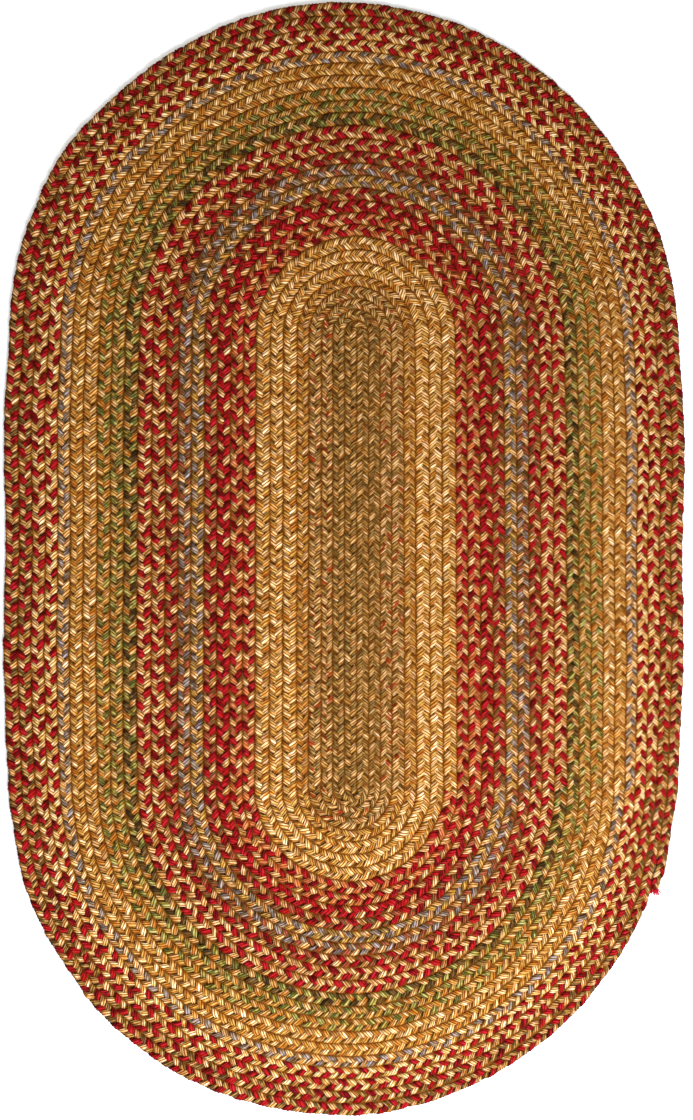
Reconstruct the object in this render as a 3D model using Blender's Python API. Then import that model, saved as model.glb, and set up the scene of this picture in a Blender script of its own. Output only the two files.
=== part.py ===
"""Oval braided rug: one long three-strand braid, wound flat and laced turn against turn.

Metres, +Z up. The origin lies on the floor, under the middle of the rug's box. +Y points to the
rug's upper end and +X to its right side. The braid starts at the lower end of the spine, the line
that the oval is wound round, and goes up its left side and down its right side, 27 times.
"""

import math

import bmesh
import bpy

# Height of the laced braid: its crests, the grooves between two turns, and the bulge of the rim
CREST_HEIGHT = 0.0095
GROOVE_HEIGHT = 0.0064
RIM_HEIGHT = 0.0046
UNDERSIDE_INSET = 0.0028

# The spine, and how far the last turn reaches from it
SPINE_X = 0.0168
SPINE_TOP_Y = 0.3039
SPINE_BOTTOM_Y = -0.3071
REACH_LEFT = 0.4690
REACH_RIGHT = 0.4340
REACH_TOP = 0.4425
REACH_BOTTOM = 0.4460

# Roundness of each quarter of the two ends: 2 is an ellipse, and less is flatter at the shoulder
ROUND_TOP_LEFT = 1.98
ROUND_TOP_RIGHT = 1.82
ROUND_BOTTOM_RIGHT = 1.88
ROUND_BOTTOM_LEFT = 1.99

# How far the rim stands out of that oval, by the share of a turn done since the lower left
RIM_WAVES = (
    # (share of a turn, metres outwards)
    (0.000, -0.0040),
    (0.022, 0.0006),
    (0.045, 0.0032),
    (0.086, 0.0006),
    (0.120, 0.0026),
    (0.155, -0.0052),
    (0.190, -0.0034),
    (0.214, 0.0004),
    (0.238, -0.0026),
    (0.265, -0.0006),
    (0.295, 0.0014),
    (0.335, -0.0030),
    (0.385, 0.0010),
    (0.413, 0.0009),
    (0.440, -0.0018),
    (0.463, -0.0020),
    (0.488, -0.0046),
    (0.541, 0.0047),
    (0.575, 0.0019),
    (0.606, 0.0034),
    (0.645, 0.0004),
    (0.700, 0.0028),
    (0.730, 0.0020),
    (0.795, -0.0020),
    (0.835, -0.0005),
    (0.882, 0.0028),
    (0.916, 0.0004),
    (0.942, -0.0048),
    (0.963, -0.0042),
    (0.986, -0.0068),
)

# Width of each turn of braid from the spine out, against their mean: the yarns differ
TURN_WIDTHS = (
    0.98, 0.94, 0.92, 1.02, 0.94, 1.12, 1.04, 1.15, 0.94,
    1.02, 1.04, 1.00, 1.02, 1.00, 0.98, 1.06, 1.08, 1.06,
    0.98, 1.02, 1.02, 0.98, 0.92, 0.94, 0.98, 0.98, 1.02,
)
TURNS = len(TURN_WIDTHS)

# Steps of the mesh along each side and round each end. The braid's tail thins over its last steps
# and is tucked against the rim a few steps round the lower end
SIDE_STEPS = 7
END_STEPS = 28
TURN_STEPS = 2 * (SIDE_STEPS + END_STEPS)
TAIL_WIDTHS = (0.90, 0.65, 0.45, 0.45)
TAIL_STEPS = len(TAIL_WIDTHS)
STEPS_PAST_SIDE = 3

# Points nearer than this are one point, as where the first turn starts at the spine
MERGE_DISTANCE = 0.0005
SHARP_ANGLE = math.radians(50)

JUTE_COLOUR = (0.34, 0.19, 0.07, 1.0)
JUTE_ROUGHNESS = 0.92


def station(step):
    """Where a step of a turn stands: its point on the spine, its bearing and the end's share done."""
    side = SPINE_TOP_Y - SPINE_BOTTOM_Y
    part = step % TURN_STEPS
    if part < SIDE_STEPS:
        return SPINE_BOTTOM_Y + side * part / SIDE_STEPS, math.pi, 0.0
    part -= SIDE_STEPS
    if part < END_STEPS:
        return SPINE_TOP_Y, math.pi * (1 - part / END_STEPS), 0.0
    part -= END_STEPS
    if part < SIDE_STEPS:
        return SPINE_TOP_Y - side * part / SIDE_STEPS, 0.0, 0.0
    part -= SIDE_STEPS
    return SPINE_BOTTOM_Y, -math.pi * part / END_STEPS, part / END_STEPS


def oval_reach(bearing):
    """How far the smooth oval reaches from the spine along a bearing."""
    right, top = math.cos(bearing), math.sin(bearing)
    if top >= 0:
        roundness = ROUND_TOP_RIGHT if right >= 0 else ROUND_TOP_LEFT
    else:
        roundness = ROUND_BOTTOM_RIGHT if right >= 0 else ROUND_BOTTOM_LEFT
    across = REACH_RIGHT if right >= 0 else REACH_LEFT
    endways = REACH_TOP if top >= 0 else REACH_BOTTOM
    size = (abs(right) / across) ** roundness + (abs(top) / endways) ** roundness
    return size ** (-1 / roundness)


def rim_wave(share):
    """The rim's wave at a share of a turn, eased from one row of RIM_WAVES to the next."""
    rows = RIM_WAVES + ((RIM_WAVES[0][0] + 1.0, RIM_WAVES[0][1]),)
    for (start, low), (end, high) in zip(rows, rows[1:]):
        if start <= share <= end:
            ease = 0.5 - 0.5 * math.cos(math.pi * (share - start) / (end - start))
            return low + (high - low) * ease
    return 0.0


def share_of_turn(step):
    """How much of a turn of the rim is done at a step, by its length."""
    side = SPINE_TOP_Y - SPINE_BOTTOM_Y
    end = math.pi * (REACH_LEFT + REACH_RIGHT + REACH_TOP + REACH_BOTTOM) / 4
    lengths = ((SIDE_STEPS, side), (END_STEPS, end), (SIDE_STEPS, side), (END_STEPS, end))
    part, done = step % TURN_STEPS, 0.0
    for steps, length in lengths:
        if part < steps:
            done += length * part / steps
            break
        done += length
        part -= steps
    return done / (2 * (side + end))


def turns_out(rows):
    """Distance from the spine, as a share of the reach, after a number of rows of braid."""
    whole = min(int(rows), TURNS - 1)
    widths = sum(TURN_WIDTHS[:whole]) + (rows - whole) * TURN_WIDTHS[whole]
    return widths / sum(TURN_WIDTHS)


def groove_rows(step):
    """Rows of braid inside the groove at a step: each turn slides out one row round the lower end."""
    slide = 0.5 - 0.5 * math.cos(math.pi * station(step)[2])
    return step // TURN_STEPS + slide


def place(step, rows, height):
    """The point at a step of the winding, a number of rows out from the spine."""
    spine_y, bearing, _ = station(step)
    out = turns_out(rows)
    reach = oval_reach(bearing) * out + rim_wave(share_of_turn(step)) * out**3
    return SPINE_X + reach * math.cos(bearing), spine_y + reach * math.sin(bearing), height


def braid_width(steps_to_end):
    """How wide the braid is, against a full row, a number of steps before the tail's tip."""
    if steps_to_end > TAIL_STEPS:
        return 1.0
    return (TAIL_WIDTHS + (0.0,))[TAIL_STEPS - steps_to_end]


def wind_braid():
    """The ribbed top: a strip of braid wound outwards, each turn sharing its grooves with the next."""
    shape = bmesh.new()
    last = TURNS * TURN_STEPS - END_STEPS + STEPS_PAST_SIDE
    inner, crest, outer = [], [], []
    for step in range(last + 1):
        rows, width = groove_rows(step), braid_width(last - step)
        inner_height = GROOVE_HEIGHT if width else RIM_HEIGHT
        outer_height = RIM_HEIGHT if step >= last - TURN_STEPS else GROOVE_HEIGHT
        crest_height = outer_height + (CREST_HEIGHT - outer_height) * width
        inner.append(shape.verts.new(place(step, rows, inner_height)))
        crest.append(shape.verts.new(place(step, rows + width / 2, crest_height)))
        outer.append(shape.verts.new(place(step, rows + width, outer_height)))
    for step in range(last):
        shape.faces.new((inner[step], inner[step + 1], crest[step + 1], crest[step]))
        shape.faces.new((crest[step], crest[step + 1], outer[step + 1], outer[step]))
    # The braid's cut start, which the first turn closes round at the lower end of the spine
    shape.faces.new(inner[TURN_STEPS - END_STEPS : TURN_STEPS + 1] + [crest[0]])
    bmesh.ops.remove_doubles(shape, verts=shape.verts, dist=MERGE_DISTANCE)
    bmesh.ops.dissolve_degenerate(shape, edges=shape.edges, dist=MERGE_DISTANCE)
    return shape


def close_underside(shape):
    """The rim turned under, and the flat face that the rug lies on."""
    rim = [edge for edge in shape.edges if edge.is_boundary]
    turned = bmesh.ops.extrude_edge_only(shape, edges=rim)["geom"]
    for vert in (item for item in turned if isinstance(item, bmesh.types.BMVert)):
        spine_y = min(max(vert.co.y, SPINE_BOTTOM_Y), SPINE_TOP_Y)
        out_x, out_y = vert.co.x - SPINE_X, vert.co.y - spine_y
        inwards = 1 - UNDERSIDE_INSET / math.hypot(out_x, out_y)
        vert.co = (SPINE_X + out_x * inwards, spine_y + out_y * inwards, 0.0)
    underside = [item for item in turned if isinstance(item, bmesh.types.BMEdge)]
    bmesh.ops.contextual_create(shape, geom=underside)
    bmesh.ops.recalc_face_normals(shape, faces=shape.faces)


def jute_material():
    material = bpy.data.materials.new("jute_braid")
    material.use_nodes = True
    shader = material.node_tree.nodes["Principled BSDF"]
    shader.inputs["Base Color"].default_value = JUTE_COLOUR
    shader.inputs["Roughness"].default_value = JUTE_ROUGHNESS
    shader.inputs["Metallic"].default_value = 0.0
    material.diffuse_color = JUTE_COLOUR
    return material


for item in list(bpy.data.objects):
    bpy.data.objects.remove(item, do_unlink=True)
shape = wind_braid()
close_underside(shape)
mesh = bpy.data.meshes.new("braided_rug")
shape.to_mesh(mesh)
shape.free()
mesh.materials.append(jute_material())
mesh.shade_smooth()
mesh.set_sharp_from_angle(angle=SHARP_ANGLE)
rug = bpy.data.objects.new("braided_rug", mesh)
bpy.context.scene.collection.objects.link(rug)
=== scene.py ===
"""Oval braided rug of dyed jute, lying flat: one three-strand braid, wound 27 times and laced.

Metres, +Z up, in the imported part's frame: the origin is on the floor under the rug's middle, +Y
runs to its upper end and +X to its right side. The braid starts at the lower end of the spine, the
line that the oval is wound round, and goes up its left side, over the top and down its right side.
"""

import math

import bmesh
import bpy
import numpy as np
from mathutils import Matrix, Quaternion, Vector


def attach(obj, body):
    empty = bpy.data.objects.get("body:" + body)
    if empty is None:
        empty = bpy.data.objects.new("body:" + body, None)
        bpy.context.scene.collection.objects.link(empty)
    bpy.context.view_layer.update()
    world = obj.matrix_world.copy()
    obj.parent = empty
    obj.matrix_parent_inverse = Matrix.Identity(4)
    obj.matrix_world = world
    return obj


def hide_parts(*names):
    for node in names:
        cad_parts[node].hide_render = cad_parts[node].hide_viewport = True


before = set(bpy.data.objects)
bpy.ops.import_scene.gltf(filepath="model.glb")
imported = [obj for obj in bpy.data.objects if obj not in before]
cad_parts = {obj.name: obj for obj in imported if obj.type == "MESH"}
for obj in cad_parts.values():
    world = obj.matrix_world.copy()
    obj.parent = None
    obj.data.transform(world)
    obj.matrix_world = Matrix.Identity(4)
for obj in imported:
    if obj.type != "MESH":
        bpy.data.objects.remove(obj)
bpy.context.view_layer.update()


# The winding. The braid is laid along a straight spine, turned at its end and wound on round
# itself, 27 turns in all. Each turn slides out by one row on its way round the lower end.
SPINE_X = 0.0168
SPINE_TOP_Y = 0.3039
SPINE_BOTTOM_Y = -0.3071
REACH_LEFT = 0.4690
REACH_RIGHT = 0.4340
REACH_TOP = 0.4425
REACH_BOTTOM = 0.4460
ROUND_TOP_LEFT = 1.98
ROUND_TOP_RIGHT = 1.82
ROUND_BOTTOM_RIGHT = 1.88
ROUND_BOTTOM_LEFT = 1.99

# How far the rim stands out of the oval, by the share of a turn done since the lower left
RIM_WAVES = (
    # (share of a turn, metres outwards)
    (0.000, -0.0040),
    (0.022, 0.0006),
    (0.045, 0.0032),
    (0.086, 0.0006),
    (0.120, 0.0026),
    (0.155, -0.0052),
    (0.190, -0.0034),
    (0.214, 0.0004),
    (0.238, -0.0026),
    (0.265, -0.0006),
    (0.295, 0.0014),
    (0.335, -0.0030),
    (0.385, 0.0010),
    (0.413, 0.0009),
    (0.440, -0.0018),
    (0.463, -0.0020),
    (0.488, -0.0046),
    (0.541, 0.0047),
    (0.575, 0.0019),
    (0.606, 0.0034),
    (0.645, 0.0004),
    (0.700, 0.0028),
    (0.730, 0.0020),
    (0.795, -0.0020),
    (0.835, -0.0005),
    (0.882, 0.0028),
    (0.916, 0.0004),
    (0.942, -0.0048),
    (0.963, -0.0042),
    (0.986, -0.0068),
)

# The braid's width in each turn from the spine out, against their mean: the yarns differ
TURN_WIDTHS = (
    0.98, 0.94, 0.92, 1.02, 0.94, 1.12, 1.04, 1.15, 0.94,
    1.02, 1.04, 1.00, 1.02, 1.00, 0.98, 1.06, 1.08, 1.06,
    0.98, 1.02, 1.02, 0.98, 0.92, 0.94, 0.98, 0.98, 1.02,
)
TURNS = len(TURN_WIDTHS)

# A turn is counted in steps: up the left side, round the top, down the right side, round the bottom
SIDE_STEPS = 7
END_STEPS = 28
TURN_STEPS = 2 * (SIDE_STEPS + END_STEPS)
CORNERS = np.cumsum((0, SIDE_STEPS, END_STEPS, SIDE_STEPS, END_STEPS))
STEPS_PAST_SIDE = 3
LAST_STEP = TURNS * TURN_STEPS - END_STEPS + STEPS_PAST_SIDE

# The rows midway between the spine and the rim lie a little to the right of an even winding
ROW_DRIFT = (
    # (step of a turn, rows outwards)
    (0, -0.22),
    (10, -0.40),
    (20, -0.27),
    (30, 0.02),
    (38, 0.27),
    (43, 0.42),
    (50, 0.24),
    (56, -0.02),
    (64, -0.26),
)

SIDE_LENGTH = SPINE_TOP_Y - SPINE_BOTTOM_Y
END_LENGTH = math.pi * (REACH_LEFT + REACH_RIGHT + REACH_TOP + REACH_BOTTOM) / 4
CORNER_SHARES = np.cumsum((0, SIDE_LENGTH, END_LENGTH, SIDE_LENGTH, END_LENGTH))
CORNER_SHARES /= CORNER_SHARES[-1]


def oval_reach(bearing):
    """How far the smooth oval reaches from the spine along each bearing."""
    right, top = np.cos(bearing), np.sin(bearing)
    roundness = np.where(
        top >= 0,
        np.where(right >= 0, ROUND_TOP_RIGHT, ROUND_TOP_LEFT),
        np.where(right >= 0, ROUND_BOTTOM_RIGHT, ROUND_BOTTOM_LEFT),
    )
    across = np.where(right >= 0, REACH_RIGHT, REACH_LEFT)
    endways = np.where(top >= 0, REACH_TOP, REACH_BOTTOM)
    size = (np.abs(right) / across) ** roundness + (np.abs(top) / endways) ** roundness
    return size ** (-1 / roundness)


def rim_wave(share):
    """The rim's wave at each share of a turn, eased from one row of RIM_WAVES to the next."""
    shares, waves = np.array(RIM_WAVES + ((1.0, RIM_WAVES[0][1]),)).T
    row = np.clip(np.searchsorted(shares, share, side="right") - 1, 0, len(shares) - 2)
    part = (share - shares[row]) / (shares[row + 1] - shares[row])
    return waves[row] + (waves[row + 1] - waves[row]) * (0.5 - 0.5 * np.cos(np.pi * part))


def turns_out(rows):
    """Distance from the spine, as a share of the reach, after each number of rows of braid."""
    edges = np.concatenate(((0.0,), np.cumsum(TURN_WIDTHS)))
    return np.interp(rows, np.arange(TURNS + 1), edges / edges[-1])


def rows_inside(steps):
    """Rows of braid inside the turn at each step: it slides out one row round the lower end."""
    steps = np.maximum(steps, 0)
    round_bottom = np.interp(steps % TURN_STEPS, CORNERS[3:], (0, 1))
    return steps // TURN_STEPS + 0.5 - 0.5 * np.cos(np.pi * round_bottom)


def place(steps, rows):
    """Where the winding is at each step, a number of rows out from the spine: x and y."""
    part = steps % TURN_STEPS
    drift_steps, drifts = np.array(ROW_DRIFT).T
    drift = np.interp(part, drift_steps, drifts, period=TURN_STEPS)
    rows = rows + drift * np.sin(np.pi * np.clip(rows / TURNS, 0, 1))
    spine_y = np.interp(
        part, CORNERS, (SPINE_BOTTOM_Y, SPINE_TOP_Y, SPINE_TOP_Y, SPINE_BOTTOM_Y, SPINE_BOTTOM_Y)
    )
    bearing = np.interp(part, CORNERS, (np.pi, np.pi, 0, 0, -np.pi))
    out = turns_out(rows)
    reach = oval_reach(bearing) * out + rim_wave(np.interp(part, CORNERS, CORNER_SHARES)) * out**3
    return SPINE_X + reach * np.cos(bearing), spine_y + reach * np.sin(bearing)


# The braid. Three strands of jute, each a bundle of dyed yarns, are plaited flat and pulled tight.
# A strand shows on top twice in each plait: once on its way out to the outer edge and once on its
# way to the inner one, so the stitches lie in two slanted columns, a V pointing back to the start.
ROW_WIDTH = 0.0169
SWING = 0.396
STRAND_RISE = 0.0023
STRAND_MIDDLE = 0.0048
STRAND_WIDTH = 0.0088
STRAND_THICKNESS = 0.0056
STITCH_SWELL = 0.05
ROLL_SNAP = 1.3
LOWEST = 0.0002
RING_PHASES = np.radians((10, 40, 68, 90, 112, 150))
RING_CLEARANCE = 0.1
SIDES = 6
START_LENGTH = 0.012
START_WIDTH = 0.6
TAIL_TAPER = 0.010
THINNEST_TAIL = 0.7
LOOSE_SIDE = 0.025
# How far a strand follows the width of its row, as shares of its own size
ROW_FIT = (0.8, 1.2)

# Length of one plait in each turn, in millimetres, from the spine outwards
PLAIT_LENGTHS = (
    34.5, 34.5, 34.5, 34.3, 34.3, 34.3, 34.2, 34.5, 35.0,
    36.0, 36.3, 36.8, 34.0, 34.3, 35.8, 35.0, 34.8, 34.5,
    34.5, 34.5, 34.2, 34.5, 34.4, 34.8, 34.9, 31.2, 31.4,
)

# The tail lies outside rows that are drawn in to make room for it, and ends a little narrower. The
# rows further in make less and less room, by this power of their share of the way out
TAIL_ROOM_FADE = 6
TAIL_ROOM = (
    # (step of a turn, rows inwards)
    (40.2, 0.00),
    (41.7, 0.18),
    (42.2, 0.36),
    (43.0, 0.60),
    (43.5, 0.60),
    (44.1, 0.48),
    (44.6, 0.42),
    (45.0, 0.12),
    (45.3, 0.00),
)
TAIL_WIDTHS = (
    # (step, share of the row's width)
    (LAST_STEP - 0.6, 1.00),
    (LAST_STEP - 0.3, 0.80),
    (LAST_STEP, 0.50),
)

# The outermost row stands a little off the one inside it, at the lower right
RIM_GAPS = (
    # (step, share of the row's width)
    (25 * TURN_STEPS + 44, 0.00),
    (25 * TURN_STEPS + 46, 0.14),
    (25 * TURN_STEPS + 54, 0.12),
    (25 * TURN_STEPS + 60, 0.00),
    (26 * TURN_STEPS + 38, 0.00),
    (26 * TURN_STEPS + 42, 0.08),
    (26 * TURN_STEPS + 45, 0.10),
)


def lay(steps, across):
    """Points of the braid: across is 0 at its inner edge and 1 at its outer one."""
    rows = rows_inside(steps) + across
    drawn_in = np.interp(steps % TURN_STEPS, *np.array(TAIL_ROOM).T)
    rows = rows - drawn_in * (rows / TURNS) ** TAIL_ROOM_FADE
    x, y = place(np.maximum(steps, 0), np.clip(rows, 0, TURNS))
    return np.array((x, y + START_LENGTH * np.minimum(steps, 0)))


def slow_noise(along, wavelengths, height, seed):
    """A soft random wander along a length, made of one sine for each wavelength."""
    shifts = np.random.default_rng(seed).uniform(0, 2 * np.pi, len(wavelengths))
    waves = [np.sin(2 * np.pi * along / w + s) for w, s in zip(wavelengths, shifts)]
    return height * sum(waves) / len(waves)


# Plaits done since the start. The left side is plaited a little looser than the right one, and the
# plaits run ahead or fall behind along the braid by up to a small share of one
GRID_PER_STEP = 20
WANDER = 0.05
WANDER_WAVELENGTHS = (0.11, 0.27, 0.61, 1.3)
WANDER_SEED = 5

grid_steps = np.linspace(-1, LAST_STEP, (LAST_STEP + 1) * GRID_PER_STEP + 1)
centre = lay(grid_steps, 0.5)
pace = np.hypot(*np.diff(centre))
centre_length = np.concatenate(((0.0,), np.cumsum(pace)))
plait = np.interp(grid_steps / TURN_STEPS - 0.5, np.arange(TURNS), PLAIT_LENGTHS) / 1000
plait *= 1 - LOOSE_SIDE * np.clip((centre[0] - SPINE_X) / REACH_RIGHT * 2, -1, 1)
plaits_done = np.concatenate(((0.0,), np.cumsum(pace / plait[1:])))
plaits_done += slow_noise(centre_length, WANDER_WAVELENGTHS, WANDER, WANDER_SEED)


# The yarns of the three strands, changed at the lower right, from the spine outwards
YARN_CHART = (
    # (turns, first strand, second strand, third strand)
    (2, "olive tan", "tan", "olive tan"),
    (2, "olive tan", "flecked cream", "tan"),
    (1, "orange", "pink tan", "gold"),
    (2, "light tan", "cream", "gold"),
    (1, "orange", "cream", "olive gold"),
    (2, "red", "rust orange", "cream tan"),
    (1, "red", "crimson", "cream tan"),
    (1, "red", "maroon", "cream tan"),
    (1, "slate", "cream tan", "bronze"),
    (1, "maroon", "slate", "cream tan"),
    (1, "red", "maroon", "pink tan"),
    (2, "red", "pink tan", "cream tan"),
    (1, "dark brown", "sage", "amber tan"),
    (1, "bronze", "amber tan", "sage"),
    (1, "sage", "orange", "amber tan"),
    (1, "orange", "cream", "olive gold"),
    (1, "orange", "cream", "gold"),
    (1, "slate", "pink tan", "cream"),
    (1, "red", "cream", "gold cream"),
    (1, "red", "cream tan", "gold cream"),
    (2, "red", "khaki", "rim tan"),
)
YARNS_BY_TURN = [yarns for turns, *yarns in YARN_CHART for _ in range(turns)]

# How much fuller a strand of these yarns is than the others
FULLNESS = {"red": 1.14, "crimson": 1.06}

# The pieces that the braid is kept in, by the dye lots that make its bands
BANDS = (
    # (name, turns)
    ("braid_heart", 8),
    ("braid_inner_red", 4),
    ("braid_slate", 5),
    ("braid_sage", 3),
    ("braid_gold", 3),
    ("braid_outer_red", 2),
    ("braid_rim", 2),
)

# The dyes, as the red, green and blue of a screen
DYES = {
    "ivory": (225, 200, 165),
    "straw": (210, 175, 140),
    "sand": (190, 160, 120),
    "wheat": (200, 150, 90),
    "honey": (180, 145, 85),
    "amber": (160, 105, 50),
    "caramel": (155, 115, 75),
    "olive": (160, 130, 85),
    "moss": (115, 95, 60),
    "umber": (95, 75, 50),
    "peat": (55, 45, 30),
    "red": (150, 30, 40),
    "oxblood": (90, 20, 25),
    "brick": (150, 65, 40),
    "russet": (190, 120, 85),
    "rust": (155, 90, 65),
    "maroon": (140, 75, 60),
    "fern": (150, 145, 90),
    "ivy": (85, 90, 50),
    "blue grey": (145, 135, 145),
    "dark grey": (95, 85, 90),
}

# The yarns. Each is a mix of plies in a main dye and plies in a second one
YARNS = {
    # name: (main dye, second dye, share of the second, darkness of the painted shade in the seams
    # between plies)
    "red": ("red", "oxblood", 0.35, 0.65),
    "crimson": ("red", "oxblood", 0.3, 0.65),
    "maroon": ("maroon", "umber", 0.4, 0.7),
    "dark brown": ("umber", "peat", 0.4, 0.6),
    "bronze": ("honey", "moss", 0.45, 0.8),
    "cream": ("ivory", "wheat", 0.4, 0.88),
    "gold cream": ("ivory", "honey", 0.4, 0.88),
    "cream tan": ("straw", "caramel", 0.45, 0.9),
    "flecked cream": ("sand", "brick", 0.32, 0.9),
    "light tan": ("straw", "honey", 0.4, 0.9),
    "pink tan": ("straw", "caramel", 0.5, 0.9),
    "rim tan": ("straw", "caramel", 0.4, 0.88),
    "tan": ("sand", "caramel", 0.4, 0.85),
    "amber tan": ("sand", "amber", 0.4, 0.85),
    "olive tan": ("olive", "moss", 0.45, 0.85),
    "olive gold": ("sand", "caramel", 0.45, 0.85),
    "gold": ("honey", "amber", 0.4, 0.85),
    "orange": ("honey", "amber", 0.5, 0.8),
    "rust orange": ("russet", "rust", 0.4, 0.75),
    "khaki": ("olive", "umber", 0.45, 0.85),
    "sage": ("fern", "ivy", 0.45, 0.8),
    "slate": ("blue grey", "dark grey", 0.45, 0.75),
}


def dye(red, green, blue):
    """A colour as the shader wants it, from the red, green and blue of a screen."""
    return tuple((channel / 255) ** 2.2 for channel in (red, green, blue)) + (1.0,)


# Plies round a strand, and in each metre along it: the ply widths that they twist round by, and the
# changes of dye, of tone and of fibre
PLIES = 7.0
PLY_TWIST = 21.0
DYE_STREAKS = 95.0
TONE_PATCHES = 190.0
FIBRE_LINES = 160.0
# Painted shade: what is left of a dye's light in the deepest places between stitches
DEEPEST_LIGHT = 0.12


def yarn_group():
    """Plies, mixed dyes and fibre of a strand of jute, from the strand's own UV map, with painted
    shade in the seams and between stitches and a painted highlight on each ply.
    """
    group = bpy.data.node_groups.new("jute_yarn", "ShaderNodeTree")
    for name, kind, in_out in (
        ("Main Dye", "NodeSocketColor", "INPUT"),
        ("Second Dye", "NodeSocketColor", "INPUT"),
        ("Second Share", "NodeSocketFloat", "INPUT"),
        ("Painted Seam Shade", "NodeSocketFloat", "INPUT"),
        ("Color", "NodeSocketColor", "OUTPUT"),
        ("Height", "NodeSocketFloat", "OUTPUT"),
        ("Roughness", "NodeSocketFloat", "OUTPUT"),
    ):
        group.interface.new_socket(name=name, in_out=in_out, socket_type=kind)
    nodes, links = group.nodes, group.links
    taken = nodes.new("NodeGroupInput").outputs
    given = nodes.new("NodeGroupOutput").inputs

    def feed(socket, value):
        if isinstance(value, bpy.types.NodeSocket):
            links.new(value, socket)
        else:
            socket.default_value = value

    def maths(operation, first, second=0.0):
        node = nodes.new("ShaderNodeMath")
        node.operation = operation
        feed(node.inputs[0], first)
        feed(node.inputs[1], second)
        return node.outputs[0]

    def noise(x, y, detail):
        spot = nodes.new("ShaderNodeCombineXYZ")
        feed(spot.inputs["X"], x)
        feed(spot.inputs["Y"], y)
        node = nodes.new("ShaderNodeTexNoise")
        feed(node.inputs["Vector"], spot.outputs["Vector"])
        feed(node.inputs["Scale"], 1.0)
        feed(node.inputs["Detail"], detail)
        return node.outputs["Fac"]

    def spread(value, low, high, to_low, to_high, ease="LINEAR"):
        node = nodes.new("ShaderNodeMapRange")
        node.interpolation_type = ease
        for name, number in zip(
            ("Value", "From Min", "From Max", "To Min", "To Max"), (value, low, high, to_low, to_high)
        ):
            feed(node.inputs[name], number)
        return node.outputs["Result"]

    def mixed(factor, first, second, blend="MIX"):
        node = nodes.new("ShaderNodeMix")
        node.data_type = "RGBA"
        node.blend_type = blend
        feed(node.inputs[0], factor)
        feed(node.inputs[6], first)
        feed(node.inputs[7], second)
        return node.outputs[2]

    strand = nodes.new("ShaderNodeUVMap")
    strand.uv_map = "strand"
    parts = nodes.new("ShaderNodeSeparateXYZ")
    links.new(strand.outputs["UV"], parts.inputs["Vector"])
    around, along = parts.outputs["X"], parts.outputs["Y"]

    # The plies lie side by side round the strand, with a slow twist
    plies = maths("ADD", maths("MULTIPLY", around, PLIES), maths("MULTIPLY", along, PLY_TWIST))
    ply_number = maths("FLOORED_MODULO", maths("FLOOR", plies), PLIES)
    across_ply = maths("SUBTRACT", maths("FRACT", plies), 0.5)
    crown = maths("SUBTRACT", 1.0, maths("MULTIPLY", maths("MULTIPLY", across_ply, across_ply), 4.0))
    # The dyes change from ply to ply and every centimetre or so along each of them
    streaks = noise(maths("MULTIPLY", ply_number, 7.3), maths("MULTIPLY", along, DYE_STREAKS), 2.0)
    lean = maths("MULTIPLY", maths("SUBTRACT", taken["Second Share"], 0.5), 0.27)
    second = spread(maths("ADD", streaks, lean), 0.45, 0.55, 0.0, 1.0, "SMOOTHSTEP")
    dyed = mixed(second, taken["Main Dye"], taken["Second Dye"])
    # Each ply is lighter or darker for half a centimetre or so, and its fibre lies in finer lines
    patch_row = maths("ADD", maths("MULTIPLY", ply_number, 3.7), 40.0)
    patches = noise(patch_row, maths("MULTIPLY", along, TONE_PATCHES), 1.0)
    fibre = noise(maths("MULTIPLY", plies, 5.0), maths("MULTIPLY", along, FIBRE_LINES), 3.0)
    tone = maths("MULTIPLY", spread(patches, 0.3, 0.7, 0.5, 1.25), spread(fibre, 0.3, 0.7, 0.5, 1.45))
    # Painted shade and highlight: the seams between plies and the depths between stitches are painted
    # darker, and the crowns of the plies lighter
    lightest_seam = maths("SUBTRACT", 1.0, taken["Painted Seam Shade"])
    # Painted seam shade, and a painted highlight of up to 1.3 on each ply's crown
    ply_shading = spread(crown, 0.25, 1.0, lightest_seam, 1.3, "SMOOTHSTEP")
    depth = nodes.new("ShaderNodeAttribute")
    depth.attribute_name = "crown"
    # Painted shade between stitches, read from the crown attribute
    painted_depth_shade = spread(depth.outputs["Fac"], 0.0, 1.0, DEEPEST_LIGHT, 1.0, "SMOOTHSTEP")
    tone = maths("MULTIPLY", tone, maths("MULTIPLY", ply_shading, painted_depth_shade))
    # The lightest tones level off
    levelling = maths("ADD", maths("MULTIPLY", tone, 0.4), 1.0)
    tone = maths("DIVIDE", maths("MULTIPLY", tone, 1.06), levelling)
    # Dark tones, random and painted shade alike, are made redder, and pale ones, the painted
    # highlights among them, whiter
    toned = nodes.new("ShaderNodeCombineColor")
    for channel, strength in (("Red", 0.58), ("Green", 1.1), ("Blue", 2.4)):
        links.new(maths("POWER", tone, strength), toned.inputs[channel])
    links.new(mixed(1.0, dyed, toned.outputs["Color"], "MULTIPLY"), given["Color"])
    fibre_height = maths("MULTIPLY", fibre, 0.3)
    links.new(maths("ADD", maths("MULTIPLY", crown, 0.7), fibre_height), given["Height"])
    links.new(maths("SUBTRACT", 0.98, maths("MULTIPLY", fibre, 0.2)), given["Roughness"])
    return group


jute_yarn = yarn_group()


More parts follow.
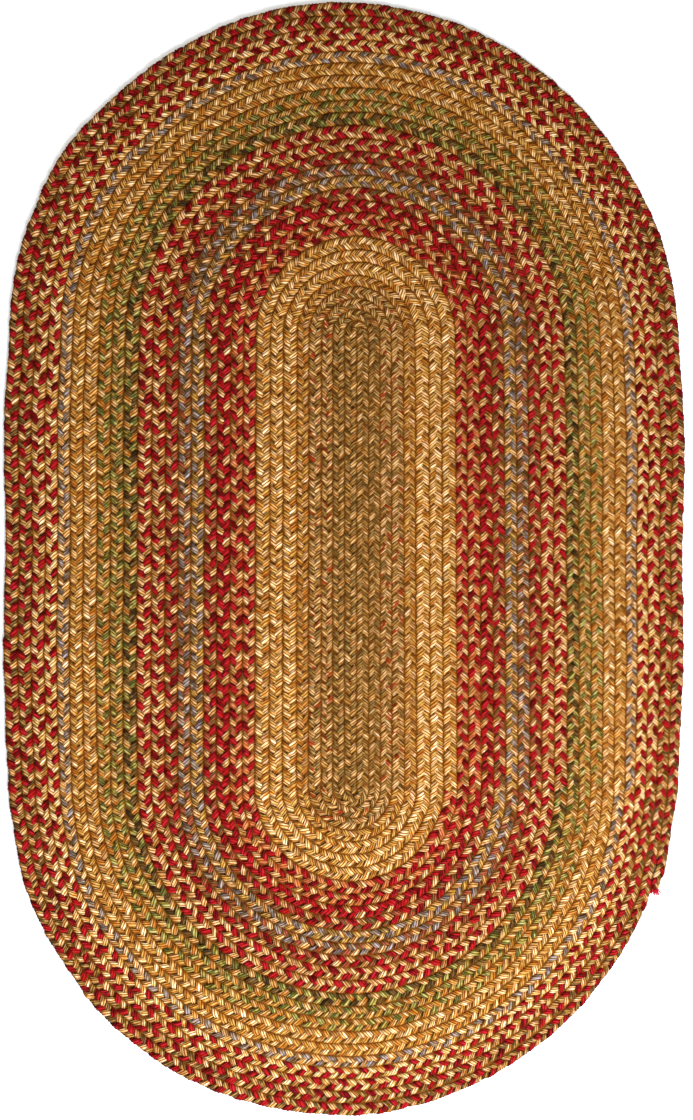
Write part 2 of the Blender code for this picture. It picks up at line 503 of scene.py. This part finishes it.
def yarn_material(name):
    """One dyed yarn."""
    main, second, share, ply_shading = YARNS[name]
    material = bpy.data.materials.new("yarn_" + name.replace(" ", "_"))
    material.use_nodes = True
    nodes, links = material.node_tree.nodes, material.node_tree.links
    shader = nodes["Principled BSDF"]
    shader.inputs["Specular IOR Level"].default_value = 0.02
    shader.inputs["Sheen Weight"].default_value = 0.03
    shader.inputs["Sheen Roughness"].default_value = 0.5
    shader.inputs["Sheen Tint"].default_value = (1.0, 0.6, 0.25, 1.0)
    yarn = nodes.new("ShaderNodeGroup")
    yarn.node_tree = jute_yarn
    yarn.inputs["Main Dye"].default_value = dye(*DYES[main])
    yarn.inputs["Second Dye"].default_value = dye(*DYES[second])
    yarn.inputs["Second Share"].default_value = share
    yarn.inputs["Painted Seam Shade"].default_value = ply_shading
    bump = nodes.new("ShaderNodeBump")
    bump.inputs["Strength"].default_value = 1.0
    bump.inputs["Distance"].default_value = 0.0014
    links.new(yarn.outputs["Color"], shader.inputs["Base Color"])
    links.new(yarn.outputs["Roughness"], shader.inputs["Roughness"])
    links.new(yarn.outputs["Height"], bump.inputs["Height"])
    links.new(bump.outputs["Normal"], shader.inputs["Normal"])
    return material


yarn_materials = {name: yarn_material(name) for name in YARNS}

# The strand's cross-section is a flattened bundle, swept along each strand
section_curve = bpy.data.curves.new("strand_section", "CURVE")
section_line = section_curve.splines.new("POLY")
section_line.points.add(SIDES - 1)
for angle, point in zip(-2 * np.pi * np.arange(SIDES) / SIDES, section_line.points):
    point.co = (STRAND_WIDTH / 2 * math.cos(angle), STRAND_THICKNESS / 2 * math.sin(angle), 0, 1)
section_line.use_cyclic_u = True
strand_section = bpy.data.objects.new("strand_section", section_curve)


def strand_rings(start, end, strand):
    """Phase, length and step of each ring of a strand between two steps of the winding."""
    phases = 2 * np.pi * (plaits_done - strand / 3)
    first, last = np.interp((start, end), grid_steps, phases)
    stitches = np.arange(first // np.pi, last // np.pi + 1)
    inside = np.add.outer(np.pi * stitches, RING_PHASES).ravel()
    inside = inside[(inside > first + RING_CLEARANCE) & (inside < last - RING_CLEARANCE)]
    phase = np.concatenate(((first,), inside, (last,)))
    return phase, np.interp(phase, phases, centre_length), np.interp(phase, phases, grid_steps)


# How much the stitches differ, each as the spread and the seed of its draws: their place along the
# braid and their height in metres, and their swing and girth as shares
STITCH_SHIFT = (0.0013, 61)
STITCH_SWING = (0.08, 31)
STITCH_LIFT = (0.00035, 41)
STITCH_GIRTH = (0.09, 51)


def each_stitch(phase, differing, strand):
    """A random value for each stitch of a strand, eased from one stitch to the next."""
    spread, seed = differing
    stitch = (phase - np.pi / 4) / np.pi
    values = np.random.default_rng(seed + strand).normal(0, spread, int(stitch.max()) + 3)
    return np.interp(stitch, np.arange(-1, len(values) - 1), values)


def strand_line(phase, length, strand):
    """The middle of a strand at each ring, and its size there against that of the section."""
    steps = np.interp(length + each_stitch(phase, STITCH_SHIFT, strand), centre_length, grid_steps)
    narrow = np.interp(steps, *np.array(TAIL_WIDTHS).T)
    narrow *= np.interp(steps, (-1, 0), (START_WIDTH, 1))
    tapered = np.clip((centre_length[-1] - length) / TAIL_TAPER, THINNEST_TAIL, 1)
    row_width = np.hypot(*(lay(steps, 1) - lay(steps, 0)))
    swing = SWING * (1 + each_stitch(phase, STITCH_SWING, strand))
    gap = np.interp(steps, *np.array(RIM_GAPS).T)
    x, y = lay(steps, gap + (1 - gap) * narrow * (0.5 + swing * np.sin(phase)))
    z = STRAND_MIDDLE + STRAND_RISE * np.sin(2 * phase) + each_stitch(phase, STITCH_LIFT, strand)
    swell = 1 - STITCH_SWELL * np.cos(4 * phase) + each_stitch(phase, STITCH_GIRTH, strand)
    fullness = [FULLNESS.get(yarns[strand], 1) for yarns in YARNS_BY_TURN]
    swell *= np.interp((steps + END_STEPS) / TURN_STEPS - 0.5, np.arange(TURNS), fullness)
    size = narrow * tapered * swell * (1 - gap) * np.clip(row_width / ROW_WIDTH, *ROW_FIT)
    return np.column_stack((x, y, z)), size


def add_object(name, data):
    """A new object in the scene, at the origin."""
    made = bpy.data.objects.new(name, data)
    bpy.context.scene.collection.objects.link(made)
    return made


def swept_strands(name, start, end):
    """Three open tubes between two steps, in one mesh, and length, step and strand of each ring."""
    curve = bpy.data.curves.new(name, "CURVE")
    curve.dimensions = "3D"
    curve.twist_mode = "Z_UP"
    curve.bevel_mode = "OBJECT"
    curve.bevel_object = strand_section
    rings = []
    for strand in range(3):
        phase, length, steps = strand_rings(start, end, strand)
        line, size = strand_line(phase, length, strand)
        # Flat where it crosses the others, and rolled up on its edge at the sides of the row
        roll = -np.pi / 2 * (1 - np.tanh(ROLL_SNAP * np.cos(phase)) / math.tanh(ROLL_SNAP))
        spline = curve.splines.new("POLY")
        spline.points.add(len(line) - 1)
        spline.points.foreach_set("co", np.column_stack((line, np.ones(len(line)))).ravel())
        spline.points.foreach_set("radius", size)
        spline.points.foreach_set("tilt", roll)
        rings.append(np.column_stack((length, steps, np.full(len(length), strand))))
    swept = add_object(name, curve)
    finished = swept.evaluated_get(bpy.context.evaluated_depsgraph_get())
    mesh = bpy.data.meshes.new_from_object(finished)
    bpy.data.objects.remove(swept, do_unlink=True)
    mesh.name = name
    mesh.uv_layers.remove(mesh.uv_layers[0])
    return mesh, np.concatenate(rings).T


# The strands lie far apart in the map of their yarns, so that no two of them look alike
STRANDS_APART = 100
BAKE_MARGIN = 0.004
COLUMN_MARGIN = 0.04
SKIN_WIDTH = 0.022

# Painted shade, by height in metres, and by the share of the row's width from the braid's middle
SHADED_BELOW = 0.0035
SHADE_RISE = 0.0050
GROOVE_SHADE = 0.75
GROOVE_START = 0.34
GROOVE_WIDTH = 0.14
MIDDLE_WIDTH = 0.12
MIDDLE_SHADES = (
    # (turn, painted shade of the braid's middle)
    (1.5, 0.9),
    (3.0, 0.3),
)


def map_strands(mesh, length, strand):
    """Two maps of the strands' skin: one in the strands' own measures, and one that bakes well."""
    corners = np.empty(len(mesh.loops), dtype=np.int32)
    mesh.loops.foreach_get("vertex_index", corners)
    corners = corners.reshape(-1, 4)
    ring, side = corners // SIDES, corners % SIDES
    wraps = (side == SIDES - 1).any(axis=1, keepdims=True) & (side == 0)
    around = (side + SIDES * wraps) / SIDES
    strand_map = mesh.uv_layers.new(name="strand")
    along = (length + STRANDS_APART * strand)[ring]
    strand_map.uv.foreach_set("vector", np.stack((around, along), axis=-1).astype(np.float32).ravel())

    # For the bake the skin is cut into columns that fill a square
    run = np.concatenate(((0.0,), np.cumsum(np.maximum(np.diff(length), 0))))
    columns = math.ceil(math.sqrt(run[-1] / SKIN_WIDTH))
    height = run[-1] / columns
    column = np.minimum(run[ring.min(axis=1, keepdims=True)] // height, columns - 1)
    bake_u = (column + COLUMN_MARGIN + (1 - 2 * COLUMN_MARGIN) * around) / columns
    bake_v = (run[ring] - column * height + BAKE_MARGIN) / (height + 2 * BAKE_MARGIN)
    bake_map = mesh.uv_layers.new(name="OFBake")
    bake_map.uv.foreach_set("vector", np.stack((bake_u, bake_v), axis=-1).astype(np.float32).ravel())
    return ring.min(axis=1)


def plaited_band(name, start_turn, end_turn):
    """The braid from one change of yarn to another: three strands, each a closed tube."""
    start = start_turn * TURN_STEPS - END_STEPS if start_turn else -1
    end = end_turn * TURN_STEPS - END_STEPS if end_turn < TURNS else LAST_STEP
    mesh, (length, step, strand) = swept_strands(name, start, end)
    strand = strand.astype(int)
    face_ring = map_strands(mesh, length, strand)

    spots = np.empty(3 * len(mesh.vertices), dtype=np.float32)
    mesh.vertices.foreach_get("co", spots)
    height = np.maximum(spots[2::3], LOWEST)
    spots[2::3] = height
    mesh.vertices.foreach_set("co", spots)
    # Painted light and shade, kept in the crown attribute: the top of the braid is painted lightest,
    # its middle darker and the grooves between rows darkest, as the light reaches them
    inner, outer = lay(step, 0).T, lay(step, 1).T
    row = np.repeat(outer - inner, SIDES, axis=0)
    outwards = spots.reshape(-1, 3)[:, :2] - np.repeat((inner + outer) / 2, SIDES, axis=0)
    off_middle = np.abs((outwards * row).sum(axis=1)) / (row * row).sum(axis=1)
    painted_row_shade = GROOVE_SHADE * np.clip((off_middle - GROOVE_START) / GROOVE_WIDTH, 0, 1)
    middle = np.interp(step / TURN_STEPS, *np.array(MIDDLE_SHADES).T)
    painted_row_shade += np.repeat(middle, SIDES) * np.clip(1 - off_middle / MIDDLE_WIDTH, 0, 1)
    painted_height_light = np.clip((height - SHADED_BELOW) / SHADE_RISE, 0, 1)
    # The painted light and shade go into the crown attribute for the yarn's shader
    crown = mesh.attributes.new("crown", "FLOAT", "POINT")
    crown.data.foreach_set("value", painted_height_light * (1 - painted_row_shade))

    # Each strand changes its yarn where the turn starts down the lower right
    turns = YARNS_BY_TURN[start_turn:end_turn]
    yarns_used = sorted({yarn for yarns in turns for yarn in yarns})
    for yarn in yarns_used:
        mesh.materials.append(yarn_materials[yarn])
    slots = np.array([[yarns_used.index(yarn) for yarn in yarns] for yarns in turns])
    turn = np.clip((step + END_STEPS) // TURN_STEPS - start_turn, 0, len(turns) - 1).astype(int)
    mesh.polygons.foreach_set("material_index", slots[turn, strand][face_ring].astype(np.int32))

    shape = bmesh.new()
    shape.from_mesh(mesh)
    bmesh.ops.holes_fill(shape, edges=[edge for edge in shape.edges if edge.is_boundary], sides=0)
    shape.to_mesh(mesh)
    shape.free()
    mesh.shade_smooth()
    band = add_object(name, mesh)
    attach(band, "root")
    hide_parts("braided_rug")
    return band


turns_done = 0
for name, turns in BANDS:
    plaited_band(name, turns_done, turns_done + turns)
    turns_done += turns


# The ends of the red strand. They stick out, cut short, where the tail is sewn down at the lower
# right: a small tuft of untwisted yarn in the strand's own dye.
TUFT_YARNS = 24
TUFT_LENGTH = 0.012
TUFT_SHORTEST = 0.6
TUFT_SPREAD = 0.9
TUFT_RISE = (-0.15, 0.3)
TUFT_SCATTER = 0.003
TUFT_SEED = 71
YARN_END_RADIUS = 0.0012
YARN_TIP_RADIUS = 0.4 * YARN_END_RADIUS
YARN_END_SIDES = 6

# It starts just before the tail's end, near its inner edge, and points on and outwards
tuft_spot = Vector((*lay(LAST_STEP - 0.12, 0.32), STRAND_MIDDLE))
tuft_ahead = Vector((*(lay(LAST_STEP, 0.9) - lay(LAST_STEP - 0.3, 0.5)), 0.0)).normalized()
tuft_draws = np.random.default_rng(TUFT_SEED)
tuft_shape = bmesh.new()
for _ in range(TUFT_YARNS):
    length = TUFT_LENGTH * tuft_draws.uniform(TUFT_SHORTEST, 1.0)
    yarn_end = bmesh.ops.create_cone(
        tuft_shape,
        segments=YARN_END_SIDES,
        radius1=YARN_END_RADIUS,
        radius2=YARN_TIP_RADIUS,
        depth=length,
        cap_ends=True,
    )["verts"]
    bmesh.ops.translate(tuft_shape, verts=yarn_end, vec=(0, 0, length / 2))
    fan = tuft_draws.uniform(-TUFT_SPREAD, TUFT_SPREAD)
    rise = tuft_draws.uniform(*TUFT_RISE)
    aim = tuft_ahead.copy()
    aim.rotate(Quaternion((0, 0, 1), fan))
    aim.z = rise
    turned = aim.to_track_quat("Z", "Y").to_matrix()
    bmesh.ops.rotate(tuft_shape, verts=yarn_end, cent=(0, 0, 0), matrix=turned)
    start = tuft_spot + Vector(tuft_draws.uniform(-TUFT_SCATTER, TUFT_SCATTER, 3))
    bmesh.ops.translate(tuft_shape, verts=yarn_end, vec=start)
bmesh.ops.recalc_face_normals(tuft_shape, faces=tuft_shape.faces)
tuft_mesh = bpy.data.meshes.new("tail_ends")
tuft_shape.to_mesh(tuft_mesh)
tuft_shape.free()
tuft_mesh.shade_smooth()
tail_ends = add_object("tail_ends", tuft_mesh)


def thread_material(name, grain, dark, light, ramp):
    """Plain jute thread, in a grain between two dyes. The ramp is where each of them starts."""
    material = bpy.data.materials.new(name)
    material.use_nodes = True
    nodes, links = material.node_tree.nodes, material.node_tree.links
    shader = nodes["Principled BSDF"]
    shader.inputs["Roughness"].default_value = 0.95
    shader.inputs["Specular IOR Level"].default_value = 0.02
    fibre = nodes.new("ShaderNodeTexNoise")
    fibre.inputs["Scale"].default_value = grain
    spot = nodes.new("ShaderNodeTexCoord")
    links.new(spot.outputs["Object"], fibre.inputs["Vector"])
    colours = nodes.new("ShaderNodeValToRGB")
    for stop, position, colour in zip(colours.color_ramp.elements, ramp, (dark, light)):
        stop.position = position
        stop.color = dye(*colour)
    links.new(fibre.outputs["Fac"], colours.inputs["Fac"])
    links.new(colours.outputs["Color"], shader.inputs["Base Color"])
    return material


TUFT_GRAIN = 700.0
TUFT_DARK = (84, 12, 18)
TUFT_LIGHT = (170, 30, 38)
tuft_mesh.materials.append(
    thread_material("cut_yarn_red", TUFT_GRAIN, TUFT_DARK, TUFT_LIGHT, ramp=(0.3, 0.7))
)
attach(tail_ends, "root")
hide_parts("braided_rug")


# The lacing. A dark jute thread is laced from turn to turn through the edges of the braid, and with
# the strands' inner yarns it closes the rug to the light. It is drawn as a sheet under the grooves,
# whose dark dyes stand in part for painted shade there, and it shows only as the line in each groove.
LACING_LOW = 0.0040
LACING_HIGH = 0.0066
LACING_THICKNESS = 0.0012
LACING_INSET = 0.35
LACING_INSET_STEPS = 2
LACING_WELD = 0.0006
LACING_GRAIN = 900.0
# Partly painted shade: the thread's dark dyes also give the grooves their shade
LACING_DARK = (64, 36, 14)
LACING_LIGHT = (104, 62, 22)

lacing_shape = bmesh.new()
lacing_steps = LAST_STEP - 1
bmesh.ops.create_grid(lacing_shape, x_segments=int(lacing_steps), y_segments=2, size=0.5)
lacing_spots = np.array([vert.co[:] for vert in lacing_shape.verts])
steps = np.round((lacing_spots[:, 0] + 0.5) * lacing_steps)
across = lacing_spots[:, 1] + 0.5
last_turn = np.clip((steps - (lacing_steps - TURN_STEPS)) / LACING_INSET_STEPS, 0, 1)
lacing_x, lacing_y = lay(steps, across * (1 - LACING_INSET * last_turn))
for vert, x, y, part in zip(lacing_shape.verts, lacing_x, lacing_y, across):
    vert.co = (x, y, LACING_LOW if part == 0.5 else LACING_HIGH)
bmesh.ops.remove_doubles(lacing_shape, verts=lacing_shape.verts, dist=LACING_WELD)
bmesh.ops.dissolve_degenerate(lacing_shape, edges=lacing_shape.edges, dist=LACING_WELD)
bmesh.ops.recalc_face_normals(lacing_shape, faces=lacing_shape.faces)
lacing_area = sum(face.calc_area() * abs(face.normal.z) for face in lacing_shape.faces)
lacing_mesh = bpy.data.meshes.new("lacing_and_groove_shade")
lacing_shape.to_mesh(lacing_mesh)
lacing_shape.free()
lacing_mesh.shade_smooth()
lacing_and_groove_shade = add_object("lacing_and_groove_shade", lacing_mesh)
lacing_wall = lacing_and_groove_shade.modifiers.new("thickness", "SOLIDIFY")
lacing_wall.thickness = LACING_THICKNESS
lacing_wall.offset = 0.0
lacing_mesh.materials.append(
    thread_material("lacing_thread_and_groove_shade", LACING_GRAIN, LACING_DARK, LACING_LIGHT, ramp=(0.0, 1.0))
)
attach(lacing_and_groove_shade, "root")
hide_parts("braided_rug")


# The floor: a plain pale surface, much larger than the rug
FLOOR_HALF_WIDTH = 6.0
FLOOR_COLOUR = (0.97, 0.97, 0.97, 1)
FLOOR_ROUGHNESS = 0.9

floor_mesh = bpy.data.meshes.new("floor")
floor_shape = bmesh.new()
bmesh.ops.create_grid(floor_shape, x_segments=1, y_segments=1, size=FLOOR_HALF_WIDTH)
floor_shape.to_mesh(floor_mesh)
floor_shape.free()
floor = add_object("floor", floor_mesh)
floor_material = bpy.data.materials.new("pale_floor")
floor_material.use_nodes = True
floor_shader = floor_material.node_tree.nodes["Principled BSDF"]
floor_shader.inputs["Base Color"].default_value = FLOOR_COLOUR
floor_shader.inputs["Roughness"].default_value = FLOOR_ROUGHNESS
floor_mesh.materials.append(floor_material)


# Light and camera: soft studio light, strongest from the lower right, and a camera straight above
KEY_SPOT = Vector((0.68, -1.22, 1.3))
KEY_AIM = Vector((0, -0.2, 0))
KEY_SIZE = 1.7
KEY_POWER = 97
KEY_COLOUR = (0.91, 1.03, 1.25)
SKY_COLOUR = (1.0, 0.985, 0.93, 1.0)
SKY_STRENGTH = 0.93

key_lamp = bpy.data.lights.new("key", "AREA")
key_lamp.size = KEY_SIZE
key_lamp.energy = KEY_POWER
key_lamp.color = KEY_COLOUR
key = add_object("key", key_lamp)
key.location = KEY_SPOT
key.rotation_euler = (KEY_AIM - KEY_SPOT).to_track_quat("-Z", "Y").to_euler()
world = bpy.data.worlds.new("studio")
bpy.context.scene.world = world
world.use_nodes = True
sky = world.node_tree.nodes["Background"]
sky.inputs["Color"].default_value = SKY_COLOUR
sky.inputs["Strength"].default_value = SKY_STRENGTH

# The photograph's height in pixels, and the real size of one at the height of the rug's top
PHOTO_HEIGHT = 1120
PIXEL_SIZE = 0.0013368
RUG_TOP = 0.009
CAMERA_X = 0.0033
CAMERA_Y = -0.0013
CAMERA_LENS = 85
SENSOR = 36

camera_data = bpy.data.cameras.new("camera")
camera_data.lens = CAMERA_LENS
camera_data.sensor_width = SENSOR
camera = add_object("camera", camera_data)
camera_height = PHOTO_HEIGHT * PIXEL_SIZE * CAMERA_LENS / SENSOR + RUG_TOP
camera.location = (CAMERA_X, CAMERA_Y, camera_height)
bpy.context.scene.camera = camera
bpy.context.scene.view_settings.view_transform = "Standard"
